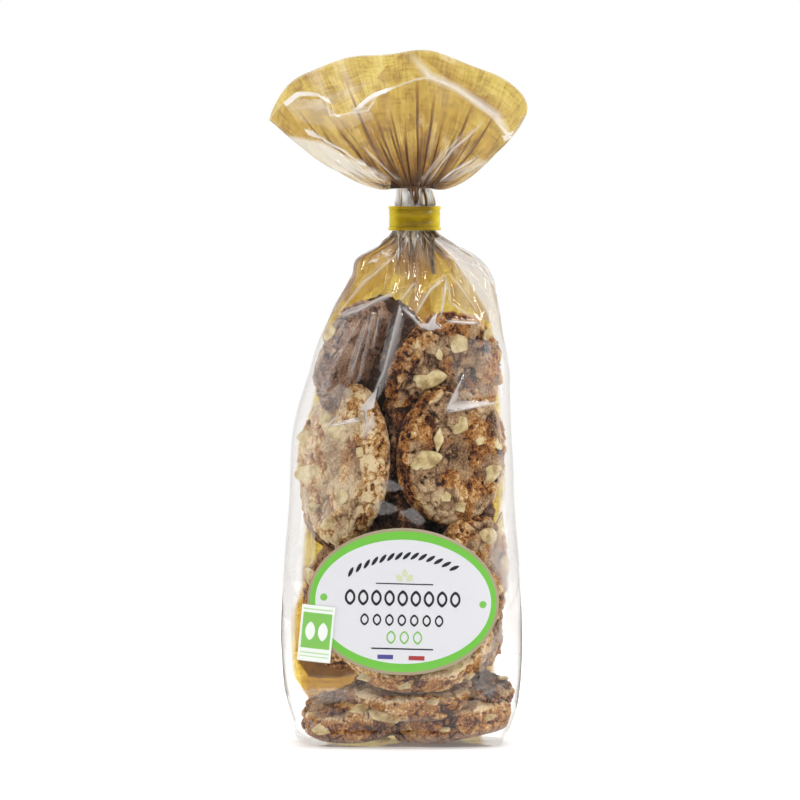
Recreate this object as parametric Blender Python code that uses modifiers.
"""Clear block-bottom bag of almond biscuits, tied at the neck, with a flared top.

The bag stands on its flat base with its front towards -Y. The origin is at the
middle of the base, and all sizes are in metres. It has four pieces: the filled
bag with its gathered neck and open top, the ribbed tie round the neck, the oval
label and the small rectangular sticker that overlaps the label's left end.
"""

import math

import bmesh
import bpy
import numpy as np

# The filled bag: (height, left edge, right edge, front, back, squareness of the section).
# The biscuits push the right side out further up than the left.
STATIONS = (
    (0.0000, -0.0325, 0.0350, -0.0195, 0.0190, 5.0),
    (0.0022, -0.0364, 0.0358, -0.0225, 0.0215, 5.0),
    (0.0070, -0.0379, 0.0382, -0.0235, 0.0222, 5.0),
    (0.0200, -0.0410, 0.0411, -0.0245, 0.0230, 5.0),
    (0.0360, -0.0422, 0.0420, -0.0250, 0.0235, 4.8),
    (0.0850, -0.0394, 0.0394, -0.0240, 0.0230, 4.4),
    (0.1130, -0.0373, 0.0381, -0.0222, 0.0218, 3.9),
    (0.1320, -0.0318, 0.0373, -0.0194, 0.0195, 3.4),
    (0.1430, -0.0290, 0.0361, -0.0172, 0.0176, 3.2),
    (0.1530, -0.0249, 0.0357, -0.0150, 0.0157, 3.0),
    (0.1635, -0.0196, 0.0332, -0.0120, 0.0128, 2.8),
    (0.1700, -0.0169, 0.0285, -0.0094, 0.0102, 2.6),
    (0.1740, -0.0086, 0.0200, -0.0072, 0.0076, 2.4),
    (0.1775, -0.0036, 0.0130, -0.0056, 0.0056, 2.3),
)

# The gathered neck inside the tie, and where it opens into the flared top.
NECK_X = 0.0046
NECK_HALF_WIDTH = 0.0071
NECK_HALF_DEPTH = 0.0049
THROAT_X = 0.0042
THROAT_Z = 0.1940
THROAT_HALF_WIDTH = 0.0061
THROAT_HALF_DEPTH = 0.0050
NECK_SQUARENESS = 2.3

# The flared top: an oval mouth, a dome at the back, lower and wavy at the front.
MOUTH_X = -0.0006
MOUTH_HALF_WIDTH = 0.0445
MOUTH_HALF_DEPTH = 0.0255
MOUTH_SQUARENESS = 2.1
MOUTH_SIDE_Z = 0.2188
MOUTH_BACK_RISE = 0.0232
# Rises and dips of the front rim: (x of the middle, half width, height).
FRONT_RIM_WAVES = ((0.0065, 0.0115, 0.0150), (-0.0300, 0.0090, 0.0075), (0.0330, 0.0080, -0.0050))
SIDE_DROOP = 1.9
FRONT_DROOP = 1.3
FILM_WALL = 0.0008
FUNNEL_FLOOR = 0.72

# Folds as waves round the bag, each (count, share, phase): pleats where the film is
# gathered, ruffles round the mouth, and the tuck of each side gusset.
PLEAT_WAVES = ((11, 0.50, 0.13), (14, 0.32, 0.61), (17, 0.18, 0.27))
RUFFLE_WAVES = ((5, 0.50, 0.35), (8, 0.50, 0.80))
SHOULDER_PLEAT = 0.0011
NECK_PLEAT = 0.0005
HELD_PLEAT = 0.35
MOUTH_PLEAT = 0.0011
RUFFLE = 0.0022
GUSSET_TUCK = 0.0040
GUSSET_WIDTH = 0.045

# How finely the bag is divided.
COLUMNS = 84
BODY_HEIGHTS = (
    0.0, 0.0008, 0.0022, 0.0080, 0.0200, 0.0360, 0.0520, 0.0690, 0.0850, 0.1000,
    0.1130, 0.1230, 0.1320, 0.1400, 0.1470, 0.1530, 0.1585, 0.1635, 0.1672,
    0.1700, 0.1722, 0.1745, 0.1768,
)
NECK_HEIGHTS = (0.1788, 0.1835, 0.1878, 0.1912)
MOUTH_STEPS = 11

# The tie: a strip of plastic with a rib along each edge, wrapped round the neck.
TIE_LOW = 0.1793
TIE_HIGH = 0.1877
TIE_X = 0.0044
TIE_HALF_WIDTH = 0.0088
TIE_HALF_DEPTH = 0.0068
TIE_WALL = 0.0010
TIE_RIB = 0.0004
TIE_RIB_HEIGHT = 0.0010
TIE_SQUARENESS = 5.0
TIE_COLUMNS = 48

# The two papers lie on the front, a paper's thickness made thick enough to handle.
LABEL_X = 0.0004
LABEL_Z = 0.0511
LABEL_HALF_WIDTH = 0.0332
LABEL_HALF_HEIGHT = 0.0250
LABEL_TURN = math.radians(-1.5)
LABEL_SIDES = 48
LABEL_RINGS = (0.18, 0.22, 0.22, 0.20)
STICKER_X = -0.0297
STICKER_Z = 0.0400
STICKER_WIDTH = 0.0115
STICKER_HEIGHT = 0.0200
STICKER_TURN = math.radians(-5.5)
STICKER_CELLS = (5, 8)
PAPER = 0.0003
GAP = 0.0003

GOLD = (0.72, 0.52, 0.24, 1.0)
YELLOW = (0.58, 0.50, 0.07, 1.0)
WHITE = (0.88, 0.89, 0.92, 1.0)
GREEN = (0.42, 0.74, 0.28, 1.0)


def material(name, colour, roughness):
    """A plain Principled material."""
    made = bpy.data.materials.new(name)
    made.use_nodes = True
    shader = made.node_tree.nodes["Principled BSDF"]
    shader.inputs["Base Color"].default_value = colour
    shader.inputs["Roughness"].default_value = roughness
    shader.inputs["Metallic"].default_value = 0.0
    return made


def eased(value, low, high):
    """0 below low, 1 above high and a smooth step between."""
    share = np.clip((value - low) / (high - low), 0.0, 1.0)
    return share * share * (3.0 - 2.0 * share)


def station_at(height):
    """Left, right, front, back and squareness at a height, on a smooth curve through STATIONS."""
    table = np.array(STATIONS)
    heights = table[:, 0]
    slopes = np.gradient(table, heights, axis=0)
    index = int(np.clip(np.searchsorted(heights, height) - 1, 0, len(heights) - 2))
    step = heights[index + 1] - heights[index]
    share = (height - heights[index]) / step
    start = (1 + 2 * share) * (1 - share) ** 2 * table[index]
    start = start + share * (1 - share) ** 2 * step * slopes[index]
    end = share**2 * (3 - 2 * share) * table[index + 1]
    end = end + share**2 * (share - 1) * step * slopes[index + 1]
    return (start + end)[1:]


def oval(left, right, front, back, squareness, columns):
    """Points evenly spaced round a rounded section, from the front's middle towards +X."""
    angle = np.linspace(0.0, 2.0 * math.pi, 1441)
    power = 2.0 / squareness
    across, along = np.sin(angle), np.cos(angle)
    x = (left + right) / 2 + (right - left) / 2 * np.sign(across) * np.abs(across) ** power
    y = (front + back) / 2 - (back - front) / 2 * np.sign(along) * np.abs(along) ** power
    length = np.concatenate([[0.0], np.cumsum(np.hypot(np.diff(x), np.diff(y)))])
    at = np.arange(columns) / columns * length[-1]
    return np.stack([np.interp(at, length, x), np.interp(at, length, y)], axis=1)


def centred_oval(x, half_width, half_depth, squareness, columns):
    """The same, given by its middle and half sizes."""
    return oval(x - half_width, x + half_width, -half_depth, half_depth, squareness, columns)


def outward(ring):
    """The unit normals of a closed flat ring that runs from the front towards +X."""
    along = np.roll(ring, -1, axis=0) - np.roll(ring, 1, axis=0)
    normal = np.stack([along[:, 1], -along[:, 0]], axis=1)
    return normal / np.linalg.norm(normal, axis=1, keepdims=True)


def waves(parts, turn):
    """A sum of waves round the bag, between -1 and 1."""
    return sum(share * np.cos(2 * math.pi * (count * turn + phase)) for count, share, phase in parts)


def body_ring(height):
    """One ring of the filled bag, with its shoulder pleats and the tuck at each gusset."""
    turn = np.arange(COLUMNS) / COLUMNS
    ring = oval(*station_at(height), COLUMNS)
    sides = sum(np.exp(-(((turn - middle) / GUSSET_WIDTH) ** 2)) for middle in (0.25, 0.75))
    push = SHOULDER_PLEAT * eased(height, 0.140, 0.166) * waves(PLEAT_WAVES, turn)
    push = push * (1.0 - 0.55 * eased(height, 0.172, 0.179))
    tucked = eased(height, 0.132, 0.162) * (1.0 - eased(height, 0.171, 0.176))
    ring = ring + outward(ring) * (push - GUSSET_TUCK * tucked * sides)[:, None]
    return np.column_stack([ring, np.full(COLUMNS, height)])


def neck_ring(height):
    """One ring of the gathered neck, from the tie up to the throat."""
    turn = np.arange(COLUMNS) / COLUMNS
    opening = eased(height, TIE_HIGH, THROAT_Z)
    middle = NECK_X + (THROAT_X - NECK_X) * opening
    half_width = NECK_HALF_WIDTH + (THROAT_HALF_WIDTH - NECK_HALF_WIDTH) * opening
    half_depth = NECK_HALF_DEPTH + (THROAT_HALF_DEPTH - NECK_HALF_DEPTH) * opening
    ring = centred_oval(middle, half_width, half_depth, NECK_SQUARENESS, COLUMNS)
    held = HELD_PLEAT if TIE_LOW - 0.001 < height < TIE_HIGH + 0.001 else 1.0
    ring = ring + outward(ring) * (held * NECK_PLEAT * waves(PLEAT_WAVES, turn))[:, None]
    return np.column_stack([ring, np.full(COLUMNS, height)])


def mouth_rim():
    """The rim of the flared top: its flat oval and the height of each of its points."""
    rim = centred_oval(MOUTH_X, MOUTH_HALF_WIDTH, MOUTH_HALF_DEPTH, MOUTH_SQUARENESS, COLUMNS)
    x, y = rim[:, 0], rim[:, 1]
    dome = np.sqrt(np.clip(1.0 - ((x - MOUTH_X) / MOUTH_HALF_WIDTH) ** 2, 0.0, 1.0))
    front = sum(high * np.exp(-(((x - at) / wide) ** 2)) for at, wide, high in FRONT_RIM_WAVES)
    height = MOUTH_SIDE_Z + np.where(y > 0, MOUTH_BACK_RISE * dome, front)
    return rim, height


def mouth_rings():
    """The flared top from just above the throat out to the rim, one ring for each step."""
    turn = np.arange(COLUMNS) / COLUMNS
    throat = centred_oval(
        THROAT_X, THROAT_HALF_WIDTH, THROAT_HALF_DEPTH, NECK_SQUARENESS, COLUMNS
    )
    rim, rim_z = mouth_rim()
    sideways = ((rim[:, 0] - MOUTH_X) / MOUTH_HALF_WIDTH) ** 2
    droop = FRONT_DROOP + (SIDE_DROOP - FRONT_DROOP) * sideways
    rings = []
    for step in range(1, MOUTH_STEPS + 1):
        out = step / MOUTH_STEPS
        flat = throat + (rim - throat) * out
        pleat = MOUTH_PLEAT * math.sin(math.pi * min(out + 0.12, 1.0))
        ruffle = RUFFLE * out**2
        push = pleat * waves(PLEAT_WAVES, turn) + ruffle * waves(RUFFLE_WAVES, turn)
        flat = flat + outward(flat) * push[:, None]
        lift = THROAT_Z + (rim_z - THROAT_Z) * out**droop
        lift = lift + ruffle / 2 * waves(RUFFLE_WAVES, turn + 0.07)
        rings.append(np.column_stack([flat, lift]))
    return rings


def inner_side(rings):
    """The rings moved inwards by the film's wall, along the surface's own normals."""
    grid = np.array(rings)
    around = np.roll(grid, -1, axis=1) - np.roll(grid, 1, axis=1)
    up = np.gradient(grid, axis=0)
    normal = np.cross(around, up)
    normal = normal / np.linalg.norm(normal, axis=2, keepdims=True)
    return list(grid - normal * FILM_WALL)


def floor_ring(ring):
    """A level ring inside another one, where the funnel ends on the gathered film."""
    middle = ring.mean(axis=0)
    floor = middle + (ring - middle) * FUNNEL_FLOOR
    floor[:, 2] = ring[:, 2].min()
    return floor


def finished(made, finish):
    """Shades a new object round, gives it its material and puts it in the collection."""
    made.data.shade_smooth()
    made.data.set_sharp_from_angle(angle=math.radians(40))
    made.data.materials.append(finish)
    collection.objects.link(made)
    return made


def make_bag():
    """The filled bag, its neck and the hollow flared top: a loft through unlike rings."""
    flare = mouth_rings()
    inside = inner_side(flare)
    rings = [body_ring(height) for height in BODY_HEIGHTS]
    rings += [neck_ring(height) for height in NECK_HEIGHTS]
    rings += flare + inside[::-1] + [floor_ring(inside[0])]
    mesh = bmesh.new()
    loops = [[mesh.verts.new(point) for point in ring] for ring in rings]
    for low, high in zip(loops[:-1], loops[1:]):
        for here in range(COLUMNS):
            after = (here + 1) % COLUMNS
            mesh.faces.new((low[here], low[after], high[after], high[here]))
    mesh.faces.new(list(reversed(loops[0])))
    mesh.faces.new(loops[-1])
    data = bpy.data.meshes.new("bag")
    mesh.to_mesh(data)
    mesh.free()
    return finished(bpy.data.objects.new("bag", data), material("gold_printed_film", GOLD, 0.25))


def flat_curve(name, points):
    """A closed flat curve through (x, y) points."""
    curve = bpy.data.curves.new(name, "CURVE")
    curve.dimensions = "2D"
    curve.fill_mode = "NONE"
    spline = curve.splines.new("POLY")
    spline.points.add(len(points) - 1)
    for point, (x, y) in zip(spline.points, points):
        point.co = (x, y, 0.0, 1.0)
    spline.use_cyclic_u = True
    return bpy.data.objects.new(name, curve)


def make_tie():
    """The strip round the neck: its ribbed section swept along a rounded oval.

    The path runs anticlockwise, so the section's negative side is the outer one.
    """
    half_height = (TIE_HIGH - TIE_LOW) / 2
    rib_end = half_height - TIE_RIB_HEIGHT
    upper = (
        (-TIE_WALL, rib_end - TIE_RIB / 2),
        (-TIE_WALL - TIE_RIB, rib_end),
        (-TIE_WALL - TIE_RIB, half_height),
        (0.0, half_height),
    )
    lower = [(out, -up) for out, up in reversed(upper)]
    section = flat_curve("tie_section", lower + list(upper))
    inner = TIE_WALL + TIE_RIB
    path = flat_curve(
        "tie_path",
        centred_oval(
            TIE_X, TIE_HALF_WIDTH - inner, TIE_HALF_DEPTH - inner, TIE_SQUARENESS, TIE_COLUMNS
        ),
    )
    path.data.bevel_mode = "OBJECT"
    path.data.bevel_object = section
    for guide in (section, path):
        guides.objects.link(guide)
        guide.hide_render = True
        guide.display_type = "WIRE"
    bpy.context.view_layer.update()
    swept = path.evaluated_get(bpy.context.evaluated_depsgraph_get())
    data = bpy.data.meshes.new_from_object(swept)
    mesh = bmesh.new()
    mesh.from_mesh(data)
    bmesh.ops.translate(mesh, verts=mesh.verts, vec=(0.0, 0.0, (TIE_LOW + TIE_HIGH) / 2))
    bmesh.ops.recalc_face_normals(mesh, faces=mesh.faces)
    mesh.to_mesh(data)
    mesh.free()
    return finished(bpy.data.objects.new("tie", data), material("yellow_plastic", YELLOW, 0.4))


def front_of_bag(x, height):
    """Y of the bag's front at a place across it."""
    left, right, front, back, squareness = station_at(height)
    share = min(abs((x - (left + right) / 2) / ((right - left) / 2)), 1.0)
    bulge = (1.0 - share**squareness) ** (1.0 / squareness)
    return (front + back) / 2 - (back - front) / 2 * bulge


def paper_on_front(name, mesh, place, turn, lift, finish):
    """Lays a flat sheet on the bag's front, clear of it by lift, and gives it a thickness."""
    cos, sin = math.cos(turn), math.sin(turn)
    for vertex in mesh.verts:
        across, up, _ = vertex.co
        x = place[0] + across * cos - up * sin
        z = place[1] + across * sin + up * cos
        vertex.co = (x, front_of_bag(x, z) - lift, z)
    data = bpy.data.meshes.new(name)
    mesh.to_mesh(data)
    mesh.free()
    made = finished(bpy.data.objects.new(name, data), finish)
    wall = made.modifiers.new("paper", "SOLIDIFY")
    wall.thickness = PAPER
    wall.offset = 1.0
    return made


def make_label():
    """The oval label."""
    mesh = bmesh.new()
    bmesh.ops.create_circle(mesh, cap_ends=True, cap_tris=False, segments=LABEL_SIDES, radius=1.0)
    for width in LABEL_RINGS:
        middle = [face for face in mesh.faces if len(face.verts) == LABEL_SIDES]
        bmesh.ops.inset_region(mesh, faces=middle, thickness=width, use_boundary=True)
    bmesh.ops.scale(mesh, verts=mesh.verts, vec=(LABEL_HALF_WIDTH, LABEL_HALF_HEIGHT, 1.0))
    finish = material("label_paper", WHITE, 0.6)
    return paper_on_front("label", mesh, (LABEL_X, LABEL_Z), LABEL_TURN, GAP, finish)


def make_sticker():
    """The small upright sticker that overlaps the label's left end."""
    mesh = bmesh.new()
    across, up = STICKER_CELLS
    bmesh.ops.create_grid(mesh, x_segments=across, y_segments=up, size=0.5)
    bmesh.ops.scale(mesh, verts=mesh.verts, vec=(STICKER_WIDTH, STICKER_HEIGHT, 1.0))
    above_label = 2 * GAP + PAPER
    finish = material("sticker_paper", GREEN, 0.6)
    return paper_on_front(
        "sticker", mesh, (STICKER_X, STICKER_Z), STICKER_TURN, above_label, finish
    )


for old in list(bpy.data.objects):
    bpy.data.objects.remove(old, do_unlink=True)
collection = bpy.data.collections.new("almond_biscuit_bag")
guides = bpy.data.collections.new("guides")
for group in (collection, guides):
    bpy.context.scene.collection.children.link(group)

make_bag()
make_tie()
make_label()
make_sticker()
